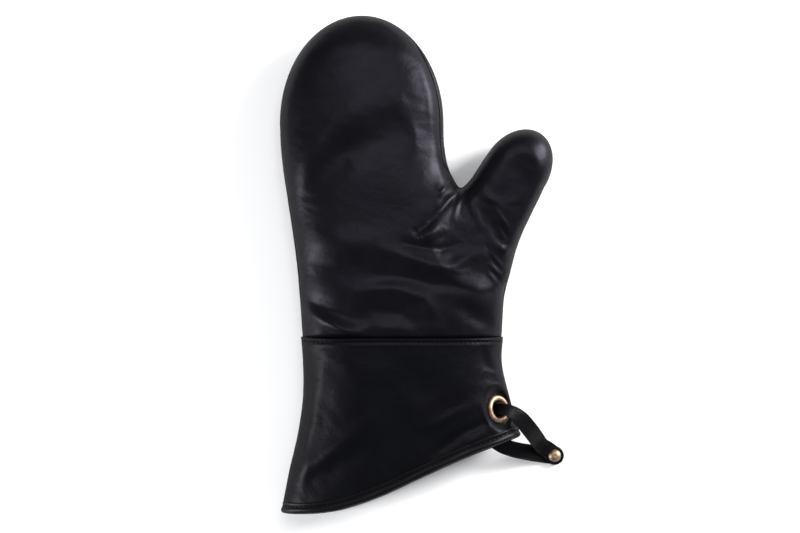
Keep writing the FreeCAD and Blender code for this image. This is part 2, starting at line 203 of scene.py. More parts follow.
def resample(points, step, closed=False):
    """Even spacing along a line of points in two or three dimensions."""
    points = np.vstack([points, points[:1]]) if closed else np.asarray(points, float)
    lengths = np.concatenate([[0], np.cumsum(np.linalg.norm(np.diff(points, axis=0), axis=1))])
    count = max(int(round(lengths[-1] / step)), 2)
    at = np.linspace(0, lengths[-1], count + 1)
    if closed:
        at = at[:-1]
    return np.stack([np.interp(at, lengths, points[:, n]) for n in range(points.shape[1])], 1)


def normals_2d(points, closed):
    """Unit normals to the left of the way a line runs."""
    if closed:
        ahead = np.roll(points, -1, 0) - np.roll(points, 1, 0)
    else:
        ahead = np.gradient(points, axis=0)
    ahead = ahead / np.linalg.norm(ahead, axis=1)[:, None]
    return np.stack([-ahead[:, 1], ahead[:, 0]], 1)


def inside(points, loop):
    """Which points are inside a closed loop."""
    found = np.zeros(len(points), bool)
    x, y = points[:, 0], points[:, 1]
    for (x1, y1), (x2, y2) in zip(loop, np.roll(loop, -1, 0)):
        if y1 == y2:
            continue
        hit = (y1 > y) != (y2 > y)
        found ^= hit & (x < (x2 - x1) * (y - y1) / (y2 - y1) + x1)
    return found


def distance_to(points, line):
    """Distance from every point to a line of points, and the index of the nearest one."""
    tree = kdtree.KDTree(len(line))
    for i, p in enumerate(line):
        tree.insert((p[0], p[1], 0), i)
    tree.balance()
    found = [tree.find((p[0], p[1], 0)) for p in points]
    return np.array([f[2] for f in found]), np.array([f[1] for f in found])


def eased(line):
    """Round off the hollow of the seam where the thumb's root runs into the wrist."""
    reach = np.arange(-24, 25)
    weight = np.exp(-((reach / 11.0) ** 2))
    weight /= weight.sum()
    wide = np.vstack([np.repeat(line[:1], 24, 0), line, np.repeat(line[-1:], 24, 0)])
    soft = np.stack([np.convolve(wide[:, n], weight, "valid") for n in range(2)], 1)
    share = np.exp(-(((line[:, 1] + 8) / 24) ** 4)) * (line[:, 0] > 30)
    return line + (soft - line) * share[:, None]


# Rows of points that follow a panel's edge, and the space left clear round a hole
ROWS = (0.12, 0.35, 0.7, 1.15, 1.7, 2.4, 3.2, 4.2)
HOLE_GAP = 0.5


def domain_mesh(loop, spacing, hole=None):
    """Triangles over a closed loop: fine rows along its edge and an even field inside."""
    normal = normals_2d(loop, True)
    if np.sum(loop[:, 0] * np.roll(loop[:, 1], -1) - loop[:, 1] * np.roll(loop[:, 0], -1)) < 0:
        normal = -normal
    rows = [loop + normal * d for d in ROWS]
    margin = ROWS[-1] + spacing * 0.6
    xs = np.arange(loop[:, 0].min(), loop[:, 0].max(), spacing)
    ys = np.arange(loop[:, 1].min(), loop[:, 1].max(), spacing * 0.866)
    gx, gy = np.meshgrid(xs, ys)
    gx = gx + (np.arange(len(ys)) % 2)[:, None] * spacing / 2
    grid = np.stack([gx.ravel(), gy.ravel()], 1)
    grid = grid + rng.normal(0, spacing * 0.06, grid.shape)
    grid = grid[inside(grid, loop)]
    grid = grid[distance_to(grid, loop)[0] > margin]
    extra = []
    for n, row in enumerate(rows):
        row = row[inside(row, loop)]
        near = distance_to(row, loop)[0]
        extra.append(row[near > ROWS[n] * 0.85])
    points = np.vstack([loop] + extra + [grid])
    faces = [list(range(len(loop)))]
    edges = []
    if hole is not None:
        keep = np.ones(len(points), bool)
        within = points[len(loop):]
        keep[len(loop):] = ~inside(within, hole) & (distance_to(within, hole)[0] > HOLE_GAP)
        points = points[keep]
        start = len(points)
        points = np.vstack([points, hole])
        edges = [(start + i, start + (i + 1) % len(hole)) for i in range(len(hole))]
    out = geometry.delaunay_2d_cdt([Vector(p) for p in points], edges, faces, 1, 1e-5)
    flat = np.array([tuple(v) for v in out[0]])
    tris = np.array([f for f in out[2] if len(f) == 3])
    if hole is not None:
        middle = flat[tris].mean(axis=1)
        tris = tris[~inside(middle, hole)]
    a, b, c = flat[tris[:, 0]], flat[tris[:, 1]], flat[tris[:, 2]]
    area = (b[:, 0] - a[:, 0]) * (c[:, 1] - a[:, 1]) - (b[:, 1] - a[:, 1]) * (c[:, 0] - a[:, 0])
    tris[area < 0] = tris[area < 0][:, ::-1]
    return flat, tris


def mesh_object(name, points, faces, material, nodes, body="mitt"):
    """A new piece in metres that rides on a body and stands for CAD nodes."""
    mesh = bpy.data.meshes.new(name)
    corners = [tuple(int(i) for i in face) for face in faces]
    mesh.from_pydata([tuple(p) for p in np.asarray(points) * MM], [], corners)
    mesh.polygons.foreach_set("use_smooth", [True] * len(mesh.polygons))
    mesh.update()
    mesh.materials.append(material)
    piece = bpy.data.objects.new(name, mesh)
    bpy.context.scene.collection.objects.link(piece)
    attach(piece, body)
    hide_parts(*nodes)
    return piece


# ---- creases, ridges and dents ----
# Each stroke: points it runs through, half width, height (minus for a valley)
HAND_FOLDS = [
    ([(-84, 40), (-55, 77), (-18, 95)], 11.0, -2.2),
    ([(-88, 60), (-62, 98), (-26, 114)], 11.0, 1.3),
    ([(-88, 148), (-45, 155), (-2, 144)], 7.0, 0.6),
    ([(-84, 164), (-45, 168), (-6, 160)], 7.0, -0.5),
    ([(-52, 132), (-44, 96), (-46, 60)], 12.0, 0.8),
    ([(-17, 118), (-6, 82)], 5.0, 0.9),
    ([(-1, 142), (7, 121), (10.5, 81), (12, 62)], 4.5, 1.4),
    ([(-80, 20), (-50, 13), (-24, 17)], 11.0, 2.0),
    ([(-80, 2), (-52, -2), (-30, 4)], 10.0, -1.2),
    ([(12, 53), (15, 50)], 4.6, 2.2),
    ([(22, 49), (15, 40), (6, 30)], 2.8, -2.4),
    ([(28, 52), (24, 44), (21, 34)], 1.6, 1.0),
    ([(24, 50), (22, 42)], 1.2, -0.7),
    ([(31, 50), (35, 40), (40, 28)], 3.2, 0.6),
    ([(40, 40), (48, 25), (55, 11)], 4.2, -0.8),
    ([(44, 48), (52, 44)], 3.0, 0.8),
    ([(50, 40), (54, 32), (58, 26)], 1.6, 0.8),
    ([(53, 28), (58, 20)], 1.5, -0.9),
    ([(52, 12), (60, 9)], 3.4, 1.5),
    ([(-26, 10), (-10, 6), (4, 0), (20, 0), (38, 8)], 5.2, 2.3),
    ([(-14, 15), (-1, 13), (12, 11), (24, 15)], 2.6, -0.9),
    ([(-6, 20), (3, 21), (14, 25)], 4.2, 2.0),
    ([(8, 38), (4, 28), (-4, 22)], 2.6, -1.1),
    ([(-6, 24), (0, 17)], 1.8, -1.0),
    ([(-30, -6), (-8, -9), (10, -12), (30, -16)], 4.6, -1.5),
    ([(-46, -18), (-22, -16), (-1, -22), (7, -34), (10, -42)], 5.0, 1.7),
    ([(-38, -31), (-14, -33), (-3, -44)], 5.0, -1.2),
    ([(46, 8), (56, -1)], 1.1, 0.45),
    ([(47, 4), (57, -5)], 1.0, -0.4),
    ([(46, 1), (56, -8)], 1.1, 0.4),
    ([(47, -3), (56, -12)], 1.0, -0.35),
    ([(45, -5), (54, -15)], 1.2, 0.35),
    ([(-84, -31), (-66, -39.5), (-46, -48)], 5.2, 3.8),
    ([(-80, -24), (-60, -31), (-40, -37)], 5.0, -1.3),
    ([(18, -26), (36, -34), (50, -44)], 6.0, -1.4),
    ([(72, 84), (80, 70)], 4.0, 0.7),
    ([(62, 76), (68, 60), (64, 44)], 7.0, -1.0),
]
CUFF_FOLDS = [
    ([(-69, -62), (-76, -106), (-82, -129), (-86, -162)], 5.4, 1.3),
    ([(-79, -140), (-36, -107)], 6.5, 1.4),
    ([(-84, -156), (-43, -127)], 6.5, -1.5),
    ([(-60, -62), (-40, -74), (-12, -70)], 8.0, 0.6),
    ([(44, -107), (28, -115), (8, -130)], 3.6, -1.7),
    ([(46, -113), (30, -125)], 2.6, 1.1),
    ([(36, -96), (20, -104), (0, -112)], 4.0, 0.9),
    ([(40, -58), (47, -72), (51, -84)], 3.2, -0.6),
    ([(46, -58), (53, -72)], 2.6, 0.4),
    ([(43, -73), (54, -77)], 1.8, 0.5),
    ([(-10, -72), (8, -92)], 9.0, -1.0),
    ([(42, -79), (53, -82)], 1.8, -0.4),
]


def folds(x, y, strokes):
    """Total height of the strokes at every point."""
    total = np.zeros_like(x)
    x, y = x + 1.5 * ripple(x, y, 30.0, 41), y + 1.5 * ripple(x, y, 30.0, 42)
    uneven = 0.6 * ripple(x, y, 24.0, 43)
    for line, width, height in strokes:
        line = np.array(line, float)
        nearest = np.full_like(x, 1e9)
        taper = np.ones_like(x)
        whole = np.linalg.norm(np.diff(line, axis=0), axis=1).sum()
        gone = 0.0
        for a, b in zip(line[:-1], line[1:]):
            run = b - a
            length = np.linalg.norm(run)
            t = ((x - a[0]) * run[0] + (y - a[1]) * run[1]) / length ** 2
            c = np.clip(t, 0, 1)
            d = np.hypot(x - a[0] - c * run[0], y - a[1] - c * run[1])
            at = (gone + c * length) / whole
            better = d < nearest
            nearest = np.where(better, d, nearest)
            taper = np.where(better, np.sin(np.pi * (0.14 + 0.72 * at)), taper)
            gone += length
        share = uneven * (width < 3.2)
        total += height * (1 + share) * taper * np.exp(-((nearest / width) ** 2))
    return total


def ripple(x, y, scale, seed):
    """Slow unevenness of soft leather, from a few crossed waves."""
    waves = np.random.default_rng(seed)
    total = np.zeros_like(x)
    for _ in range(7):
        angle, phase = waves.uniform(0, math.pi), waves.uniform(0, 2 * math.pi)
        length = scale * waves.uniform(0.6, 1.6)
        total += np.sin((x * math.cos(angle) + y * math.sin(angle)) / length * 2 * math.pi + phase)
    return total / 7


def seam_inset(x, y):
    """How far the palm leather rolls up past the seam, seen from above."""
    right = smooth((x + 20) / 25) * smooth((y - 58) / 16) * smooth((168 - y) / 24) * smooth((36 - x) / 14)
    left = smooth((-60 - x) / 20) * smooth((y + 30) / 16) * smooth((70 - y) / 40)
    return 0.35 + 2.1 * right + 0.7 * left


def swell(full, power):
    """How high a stuffed panel stands: flat in the middle, falling steeply to its seam."""
    return np.clip(full, 0, 1) ** power


def hand_power(y):
    """The hand flattens a little towards the cuff."""
    return 0.44 + 0.14 * smooth((-22 - y) / 26)


def pinned(z, rim):
    """Bring a panel's edge exactly to the height of the seam."""
    return SEAM_Z + (z - SEAM_Z) * smooth(rim / 0.3)


def hand_top(x, y, rim, out):
    """The back of the hand: rim is the way in from its edge, and out the way along the edge."""
    height, full = field(x, y, 0.0, 1)
    z = height * swell(full, hand_power(y))
    fade = smooth(rim / (8.0 + 8.0 * smooth((-50 - x) / 20) * smooth((y + 16) / 14)))
    z += folds(x, y, HAND_FOLDS) * fade * (1 - smooth((-46.0 - y) / 3.5))
    z += 0.35 * ripple(x, y, 46.0, 3) * fade + 0.10 * ripple(x, y, 13.0, 5) * fade
    # Puckers along the seam
    pucker = 0.22 * np.sin(out / 3.4) * np.exp(-((rim / 5.0) ** 2)) * smooth(rim)
    z += pucker * (0.5 + 0.5 * np.sin(out / 21.0))
    # A swelling above the cuff, and a step down under it
    z += (0.9 - 0.9 * smooth(x / 30)) * np.exp(-(((y + 44.0) / 5.0) ** 2)) * smooth(rim / 10)
    z -= 1.7 * smooth((-48.3 - y) / 2.2) * smooth(rim / 3)
    return SEAM_Z + z


def seat_blend(x, y, z, drop):
    """Ease a surface into the eyelet's tilted seat, with a soft ridge round it."""
    plane = SEAT[2] - (AXIS[0] * (x - SEAT[0]) + AXIS[1] * (y - SEAT[1])) / AXIS[2] - drop
    offset = np.stack([x - SEAT[0], y - SEAT[1], plane - SEAT[2]], -1)
    radius = np.linalg.norm(offset, axis=-1)
    share = 1 - smooth((radius - 10.2) / 8.0)
    ridge = 0.7 * np.exp(-(((radius - 14.0) / 2.4) ** 2))
    return z * (1 - share) + plane * share + ridge


def cuff_top(x, y, rim):
    """The back of the cuff, with a folded edge and a stitched groove along it."""
    height, full = field(x, y, CUFF_OUT, 1)
    z = height * swell(full, CUFF_POWER)
    fade = smooth(rim / 9.0)
    z += folds(x, y, CUFF_FOLDS) * fade
    z += 0.35 * ripple(x, y, 52.0, 11) * fade + 0.05 * ripple(x, y, 12.0, 12) * fade
    # The rolled edge, the groove pulled in by the stitches, and the swelling below it
    edge = CUFF_Y - y
    z += 0.25 - 1.5 * np.exp(-(edge / 0.5)) + 0.55 * np.exp(-(((edge - 1.1) / 1.0) ** 2))
    z -= (0.55 + 0.25 * np.cos(x / CUFF_PITCH * 2 * math.pi)) * np.exp(-(((edge - CUFF_ROW) / 0.9) ** 2))
    z += 0.25 * np.exp(-(((edge - 4.6) / 1.3) ** 2))
    return seat_blend(x, y, SEAM_Z + z, SEAT_DROP)


def palm(x, y, floor, inset, power):
    """The underside of a panel, rounding off to flat at the floor."""
    height, full = field(x, y, inset, -1)
    depth = height * np.clip(full, 0, None) ** power
    limit = SEAM_Z - floor
    soft = 2.4
    k = np.maximum(soft - np.abs(depth - limit), 0.0) / soft
    return SEAM_Z - (np.minimum(depth, limit) - k * k * soft / 4)


# ---- hem ----
def hem_y(x):
    """How far down the hem is, at the height of the side seam."""
    return blend(HEM, x, 1)


def hem_line(offset, xs):
    """Points on the hem moved in by offset along its normal."""
    slope = hem_y(xs + 0.5) - hem_y(xs - 0.5)
    size = np.hypot(1.0, slope)
    return np.stack([xs - slope / size * offset, hem_y(xs) + offset / size], 1)


# ---- materials ----
def node_material(name, values):
    """A new material with plain values set on its shader, and its node tree."""
    material = bpy.data.materials.new(name)
    material.use_nodes = True
    for key, value in values.items():
        material.node_tree.nodes["Principled BSDF"].inputs[key].default_value = value
    return material, material.node_tree


def texture(tree, kind, **values):
    """A procedural texture on the piece's own coordinates."""
    place = tree.nodes.get("place") or tree.nodes.new("ShaderNodeTexCoord")
    place.name = "place"
    made = tree.nodes.new("ShaderNodeTex" + kind)
    for key, value in values.items():
        made.inputs[key].default_value = value
    tree.links.new(place.outputs["Object"], made.inputs["Vector"])
    return made


def colour_by(tree, source, low, high, start=0.0, end=1.0):
    """Colour the shader from low to high as a source goes from start to end."""
    ramp = tree.nodes.new("ShaderNodeValToRGB")
    for element, position, colour in zip(ramp.color_ramp.elements, (start, end), (low, high)):
        element.position = position
        element.color = (*colour, 1)
    tree.links.new(source, ramp.inputs["Fac"])
    tree.links.new(ramp.outputs["Color"], tree.nodes["Principled BSDF"].inputs["Base Color"])


def vary(tree, source, socket, low, high, start=0.0, end=1.0):
    """Take one of the shader's values from low to high as a source goes from start to end."""
    spread = tree.nodes.new("ShaderNodeMapRange")
    for key, value in (("From Min", start), ("From Max", end), ("To Min", low), ("To Max", high)):
        spread.inputs[key].default_value = value
    tree.links.new(source, spread.inputs["Value"])
    tree.links.new(spread.outputs["Result"], tree.nodes["Principled BSDF"].inputs[socket])


def relief(tree, source, strength, distance, before=None):
    """Fine relief from a source, on top of any relief made before."""
    bump = tree.nodes.new("ShaderNodeBump")
    bump.inputs["Strength"].default_value = strength
    bump.inputs["Distance"].default_value = distance
    tree.links.new(source, bump.inputs["Height"])
    if before:
        tree.links.new(before.outputs["Normal"], bump.inputs["Normal"])
    tree.links.new(bump.outputs["Normal"], tree.nodes["Principled BSDF"].inputs["Normal"])
    return bump


MOTTLING = 0.25


def leather(name, colour, rough, grain, tint, gloss):
    """Smooth dyed leather: fine pores, slow mottling and an uneven polish, duller at a slant."""
    material, tree = node_material(name, {"Specular Tint": (*tint, 1)})
    cloudy = texture(tree, "Noise", Scale=38.0, Detail=6.0)
    pores = texture(tree, "Voronoi", Scale=950.0)
    fine = texture(tree, "Noise", Scale=420.0, Detail=8.0)
    creases = texture(tree, "Noise", Scale=85.0, Detail=5.0, Distortion=0.8)
    dark, light = [c * (1 - MOTTLING) for c in colour], [c * (1 + MOTTLING) for c in colour]
    colour_by(tree, cloudy.outputs["Fac"], dark, light, 0.3, 0.72)
    vary(tree, creases.outputs["Fac"], "Roughness", rough - 0.05, rough + 0.07)
    last = relief(tree, creases.outputs["Fac"], 0.35 * grain, 0.0009)
    last = relief(tree, fine.outputs["Fac"], 0.35 * grain, 0.00025, last)
    relief(tree, pores.outputs["Distance"], 0.30 * grain, 0.00012, last)
    facing = tree.nodes.new("ShaderNodeLayerWeight")
    facing.inputs["Blend"].default_value = 0.5
    vary(tree, facing.outputs["Facing"], "Specular IOR Level", gloss, gloss * 0.12, 0.42, 0.80)
    return material


def woven(name, colour, scale):
    """Plain-woven cloth: crossed threads and a matt face."""
    material, tree = node_material(name, {"Roughness": 0.9, "Sheen Weight": 0.15})
    cross = tree.nodes.new("ShaderNodeMath")
    cross.operation = "MULTIPLY"
    for n, direction in enumerate("XY"):
        wave = texture(tree, "Wave", Scale=scale, Distortion=0.6)
        wave.bands_direction = direction
        tree.links.new(wave.outputs["Fac"], cross.inputs[n])
    colour_by(tree, cross.outputs["Value"], [c * 0.6 for c in colour], [c * 1.3 for c in colour])
    relief(tree, cross.outputs["Value"], 0.5, 0.0003)
    return material


def thread_material():
    """Twisted black thread."""
    material, tree = node_material("thread", {"Roughness": 0.7, "Specular IOR Level": 0.05})
    twist = texture(tree, "Wave", Scale=900.0)
    twist.bands_direction = "DIAGONAL"
    colour_by(tree, twist.outputs["Fac"], (0.0008, 0.0008, 0.0010), (0.0025, 0.0025, 0.0030))
    relief(tree, twist.outputs["Fac"], 0.6, 0.0001)
    return material


def brass_material():
    """Antique brass: warm, brushed by handling, browner where it is less worn."""
    material, tree = node_material("antique_brass", {"Metallic": 1.0})
    patina = texture(tree, "Noise", Scale=160.0, Detail=7.0)
    scratches = texture(tree, "Noise", Scale=900.0, Detail=4.0)
    colour_by(tree, patina.outputs["Fac"], (0.15, 0.092, 0.056), (0.42, 0.300, 0.205), 0.32, 0.66)
    vary(tree, patina.outputs["Fac"], "Roughness", 0.38, 0.54)
    relief(tree, scratches.outputs["Fac"], 0.15, 0.0001)
    return material


HAND_LEATHER = leather("hand_leather", (0.0020, 0.0019, 0.0029), 0.375, 0.7, (0.84, 0.80, 1.0), 0.112)
CUFF_LEATHER = leather("cuff_leather", (0.0016, 0.0018, 0.0024), 0.39, 0.8, (0.86, 0.83, 1.0), 0.080)
BINDING_LEATHER = leather("binding_leather", (0.0024, 0.0023, 0.0028), 0.36, 0.7, (0.9, 0.9, 1.0), 0.12)
STRAP_LEATHER = leather("strap_leather", (0.0022, 0.0021, 0.0024), 0.46, 2.0, (0.95, 0.93, 1.0), 0.075)
LINING_CLOTH = woven("lining_cloth", (0.020, 0.020, 0.022), 330.0)
PADDING_FELT = woven("padding_felt", (0.16, 0.155, 0.15), 200.0)
THREAD = thread_material()
BRASS = brass_material()


# ---- cloth ----
SETTLING_FRAMES = 14
SPARE_LEATHER = 0.006
LARGEST_MOVE = 0.0015


def settle(piece, held, keep):
    """Let a panel with a little spare leather settle as cloth, its edges held (1 is fixed, 0 is
    free), and keep the given share of every point's move."""
    mesh = piece.data
    before = np.empty(len(mesh.vertices) * 3)
    mesh.vertices.foreach_get("co", before)
    group = piece.vertex_groups.new(name="held")
    for weight in (1.0, 0.5, 0.2):
        chosen = np.nonzero(np.abs(held - weight) < 0.01)[0]
        group.add([int(i) for i in chosen], weight, "REPLACE")
    cloth = piece.modifiers.new("settle", "CLOTH")
    cloth.settings.quality = 6
    cloth.settings.mass = 0.05
    cloth.settings.tension_stiffness = 25
    cloth.settings.compression_stiffness = 25
    cloth.settings.shear_stiffness = 15
    cloth.settings.bending_stiffness = 0.05
    cloth.settings.air_damping = 5
    cloth.settings.vertex_group_mass = "held"
    cloth.settings.shrink_min = -SPARE_LEATHER
    cloth.settings.effector_weights.gravity = 0
    cloth.point_cache.frame_start = 1
    cloth.point_cache.frame_end = SETTLING_FRAMES
    for frame_number in range(1, SETTLING_FRAMES + 1):
        bpy.context.scene.frame_set(frame_number)
    settled = piece.evaluated_get(bpy.context.evaluated_depsgraph_get()).data
    after = np.empty_like(before)
    settled.vertices.foreach_get("co", after)
    piece.modifiers.remove(cloth)
    piece.vertex_groups.clear()
    bpy.context.scene.frame_set(1)
    move = (after - before).reshape(-1, 3)
    size = np.linalg.norm(move, axis=1)
    move *= (keep * np.minimum(size, LARGEST_MOVE) / np.maximum(size, 1e-9))[:, None]
    mesh.vertices.foreach_set("co", (before.reshape(-1, 3) + move).ravel())
    mesh.update()


# ---- hand panels ----
SEAM = resample(eased(resample(outline(0.0), 1.0)), SEAM_STEP)
CUFF_SEAM = resample(outline(CUFF_OUT), SEAM_STEP)
DENSE_SEAM = resample(SEAM, DENSE_STEP)
DENSE_CUFF = resample(CUFF_SEAM, DENSE_STEP)


# Way in and way down of the rows where the back's edge turns in, and shares of the palm's roll
TURNED_IN = ((0.0, 0.0), (0.25, 0.7), (0.9, 2.0), (2.0, 3.6))
ROLL = np.array([0.0, 0.05, 0.12, 0.22, 0.36, 0.52, 0.7, 0.86, 1.0])


def closed_above(line, y):
    """The part of a seam above y, closed by a straight row along y."""
    part = line[line[:, 1] > y + CORNER_GAP]
    across = np.arange(part[-1, 0], part[0, 0], -SEAM_STEP)
    bottom = np.stack([across, np.full_like(across, y)], 1)
    return np.vstack([part, bottom])


def hand_pieces():
    """The back of the hand, turned in at its seam, and the palm, rolled up past the seam."""
    side = normals_2d(SEAM, False)
    if np.mean(side[:, 1][SEAM[:, 1] > 150]) > 0:
        side = -side
    moved = SEAM + side * seam_inset(SEAM[:, 0], SEAM[:, 1])[:, None]
    flat, tris = domain_mesh(closed_above(moved, CUFF_Y - LAP), FINE)
    distance, nearest = distance_to(flat, DENSE_SEAM)
    inset = seam_inset(DENSE_SEAM[nearest, 0], DENSE_SEAM[nearest, 1])
    rim = np.maximum(distance - inset, 0.0)
    z = hand_top(flat[:, 0], flat[:, 1], rim, nearest * DENSE_STEP)
    z -= 0.5 * inset * np.exp(-((rim / 1.2) ** 2)) * smooth((distance + 0.5) / 1.5)
    points = list(np.column_stack([flat, z]))
    faces = [tuple(t) for t in tris]
    keep = moved[:, 1] > CUFF_Y - LAP + CORNER_GAP
    edge, inward = moved[keep], side[keep]
    level = hand_top(edge[:, 0], edge[:, 1], np.zeros(len(edge)), np.arange(len(edge)) * SEAM_STEP)
    level -= 0.15 * seam_inset(edge[:, 0], edge[:, 1])
    start, count = len(points), len(edge)
    for step, drop in TURNED_IN:
        points += list(np.column_stack([edge + inward * step, level - drop]))
    for r in range(len(TURNED_IN) - 1):
        for i in range(count - 1):
            a = start + r * count + i
            faces.append((a, a + 1, a + count + 1, a + count))
    piece = mesh_object("back_hand", points, faces, HAND_LEATHER, ["back_hand_panel"])
    held, share = np.ones(len(points)), np.zeros(len(points))
    held[:len(flat)] = np.select([rim > 7, rim > 5, rim > 3], [0.0, 0.2, 0.5], 1.0)
    held[:len(flat)][flat[:, 1] < CUFF_Y + 2] = 1.0
    crumpled = np.exp(-(((flat[:, 0] - 24) / 34) ** 2) - ((flat[:, 1] - 18) / 38) ** 2)
    share[:len(flat)] = 0.24 + 0.50 * crumpled
    settle(piece, held, share)

    loop = closed_above(SEAM, CUFF_Y - LAP)
    flat, tris = domain_mesh(loop, MEDIUM)
    z = palm(flat[:, 0], flat[:, 1], 0.0, 0.0, PALM_POWER)
    z += 0.2 * ripple(flat[:, 0], flat[:, 1], 30.0, 21) * smooth((z - 0.2) / 3.0)
    z = pinned(np.maximum(z, 0.0), distance_to(flat, DENSE_SEAM)[0])
    points = list(np.column_stack([flat, z]))
    faces = [tuple(t[::-1]) for t in tris]
    start = len(points)
    keep = SEAM[:, 1] > CUFF_Y - LAP + CORNER_GAP
    line, away = SEAM[keep], side[keep]
    width = seam_inset(line[:, 0], line[:, 1]) + 0.55
    for share in ROLL:
        ring = line + away * (width * share)[:, None]
        height, full = field(ring[:, 0], ring[:, 1], 0.0, 1)
        top = SEAM_Z + height * swell(full, hand_power(ring[:, 1]))
        top -= 1.6 * np.exp(-(((1 - share) * width / 0.9) ** 2)) * smooth((width - 0.6) / 0.8)
        top -= 0.4 * (share > 0.9)
        top = pinned(top, share * width)
        points += list(np.column_stack([ring, top]))
    count = len(line)
    for r in range(len(ROLL) - 1):
        for i in range(count - 1):
            a = start + r * count + i
            faces.append((a, a + count, a + count + 1, a + 1))
    mesh_object("palm_hand", points, faces, HAND_LEATHER, ["palm_hand_panel"])


# ---- cuff panels ----
HEM_GAP = 1.2
EYELET_HOLE_R = 7.6


def eyelet_hole(radius):
    """The outline in plan of a circle round the eyelet's axis, on its seat."""
    first = np.cross(AXIS, (0, 0, 1.0))
    first /= np.linalg.norm(first)
    second = np.cross(AXIS, first)
    turns = np.linspace(0, 2 * math.pi, 48, endpoint=False)
    ring = SEAT + radius * (np.cos(turns)[:, None] * first + np.sin(turns)[:, None] * second)
    return ring[:, :2]


def cuff_loop(offset, lean):
    """Closed plan outline of a cuff panel between its folded edge and the hem."""
    line = CUFF_SEAM
    hem_at = lambda p: p[1] - (hem_y(p[0]) + lean + offset)
    upper = np.array([p for p in line if p[1] < CUFF_Y - CORNER_GAP and hem_at(p) > CORNER_GAP])
    left, right = upper[upper[:, 0] < 0], upper[upper[:, 0] > 0]
    left, right = left[np.argsort(-left[:, 1])], right[np.argsort(right[:, 1])]
    hem = hem_line(offset, np.arange(left[-1, 0] + 1.2, right[0, 0] - 1.0, SEAM_STEP)) + (0, lean)
    top = np.arange(right[-1, 0], left[0, 0], -SEAM_STEP)
    return np.vstack([left, hem, right, np.stack([top, np.full_like(top, CUFF_Y)], 1)])


def cuff_pieces():
    """The back and the palm of the cuff; the back has the eyelet's hole."""
    loop = cuff_loop(HEM_GAP, MOUTH_LEAN * MOUTH_RISE)
    flat, tris = domain_mesh(loop, FINE, eyelet_hole(EYELET_HOLE_R))
    rim = distance_to(flat, DENSE_CUFF)[0]
    z = cuff_top(flat[:, 0], flat[:, 1], rim)
    z = pinned(z - 0.8 * np.exp(-((rim / 1.0) ** 2)) * smooth(rim / 0.4), rim)
    points = np.column_stack([flat, z])
    piece = mesh_object("back_cuff", points, tris, CUFF_LEATHER, ["back_cuff_panel"])
    held = np.select([rim > 7, rim > 5, rim > 3], [0.0, 0.2, 0.5], 1.0)
    hem_gap = flat[:, 1] - hem_y(flat[:, 0])
    from_eyelet = np.hypot(flat[:, 0] - SEAT[0], flat[:, 1] - SEAT[1])
    held[(flat[:, 1] > CUFF_Y - 7) | (hem_gap < 12) | (from_eyelet < 15)] = 1.0
    settle(piece, held, np.full(len(flat), 0.22))

    loop = cuff_loop(HEM_GAP, -MOUTH_LEAN * MOUTH_RISE)
    flat, tris = domain_mesh(loop, MEDIUM)
    floor = 0.6 + 1.0 * smooth((-100 - flat[:, 1]) / 14.0)
    z = palm(flat[:, 0], flat[:, 1], floor, CUFF_OUT, PALM_CUFF_POWER)
    points = np.column_stack([flat, pinned(z, distance_to(flat, DENSE_CUFF)[0])])
    mesh_object("palm_cuff", points, tris[:, ::-1], CUFF_LEATHER, ["palm_cuff_panel"])


# ---- lining and padding ----
# Name, depth below the outside, way in from the hem, depth of the eyelet's seat, material, slot
INNER_LAYERS = [
    ("lining", LINING_IN, 2.4, 3.4, LINING_CLOTH, "lining"),
    ("padding", 2.6, 6.4, 1.9, PADDING_FELT, "batting"),
]


def inner_pieces():
    """The lining and the padding, each a bag that is open at the hem and round the eyelet."""
    for name, inset, start, seat_depth, material, slot in INNER_LAYERS:
        line = resample(outline(inset), INNER_STEP)
        hem = hem_line(start, np.arange(-97.0, 66.0, INNER_STEP))
        upper = np.array([p for p in line if p[1] > hem_y(p[0]) + start + CORNER_GAP])
        hem = hem[inside(hem, np.vstack([line, line[:1]]))]
        loop = np.vstack([upper, hem[::-1]])
        points, faces = [], []
        for side in (1, -1):
            flat, tris = domain_mesh(loop, COARSE)
            x, y = flat[:, 0], flat[:, 1]
            height, full = field(x, y, inset, side)
            rim = distance_to(flat, line)[0]
            if side > 0:
                z = SEAM_Z + height * np.clip(full, 0, None) ** INNER_POWER - INNER_SINK
                z += np.minimum(folds(x, y, HAND_FOLDS + CUFF_FOLDS), 0) * smooth(rim / 8)
                z += 0.3 * ripple(x, y, 24.0, 31) * smooth(rim / 8)
                z = seat_blend(x, y, z, seat_depth)
                away = np.linalg.norm(np.column_stack([x, y, z]) - SEAT, axis=1)
                tris = tris[(away[tris] > INNER_HOLE_R).all(axis=1)]
            else:
                z = palm(x, y, inset + 0.6, inset, INNER_POWER)
                z += 0.4 * ripple(x, y, 24.0, 33) * smooth(rim / 8)
            first = len(points)
            points += list(np.column_stack([flat, z]))
            order = tris[:, ::-1] if side > 0 else tris
            faces += [tuple(t + first) for t in order]
        nodes = [f"back_{slot}", f"palm_{slot}"]
        piece = mesh_object(name, points, faces, material, nodes)


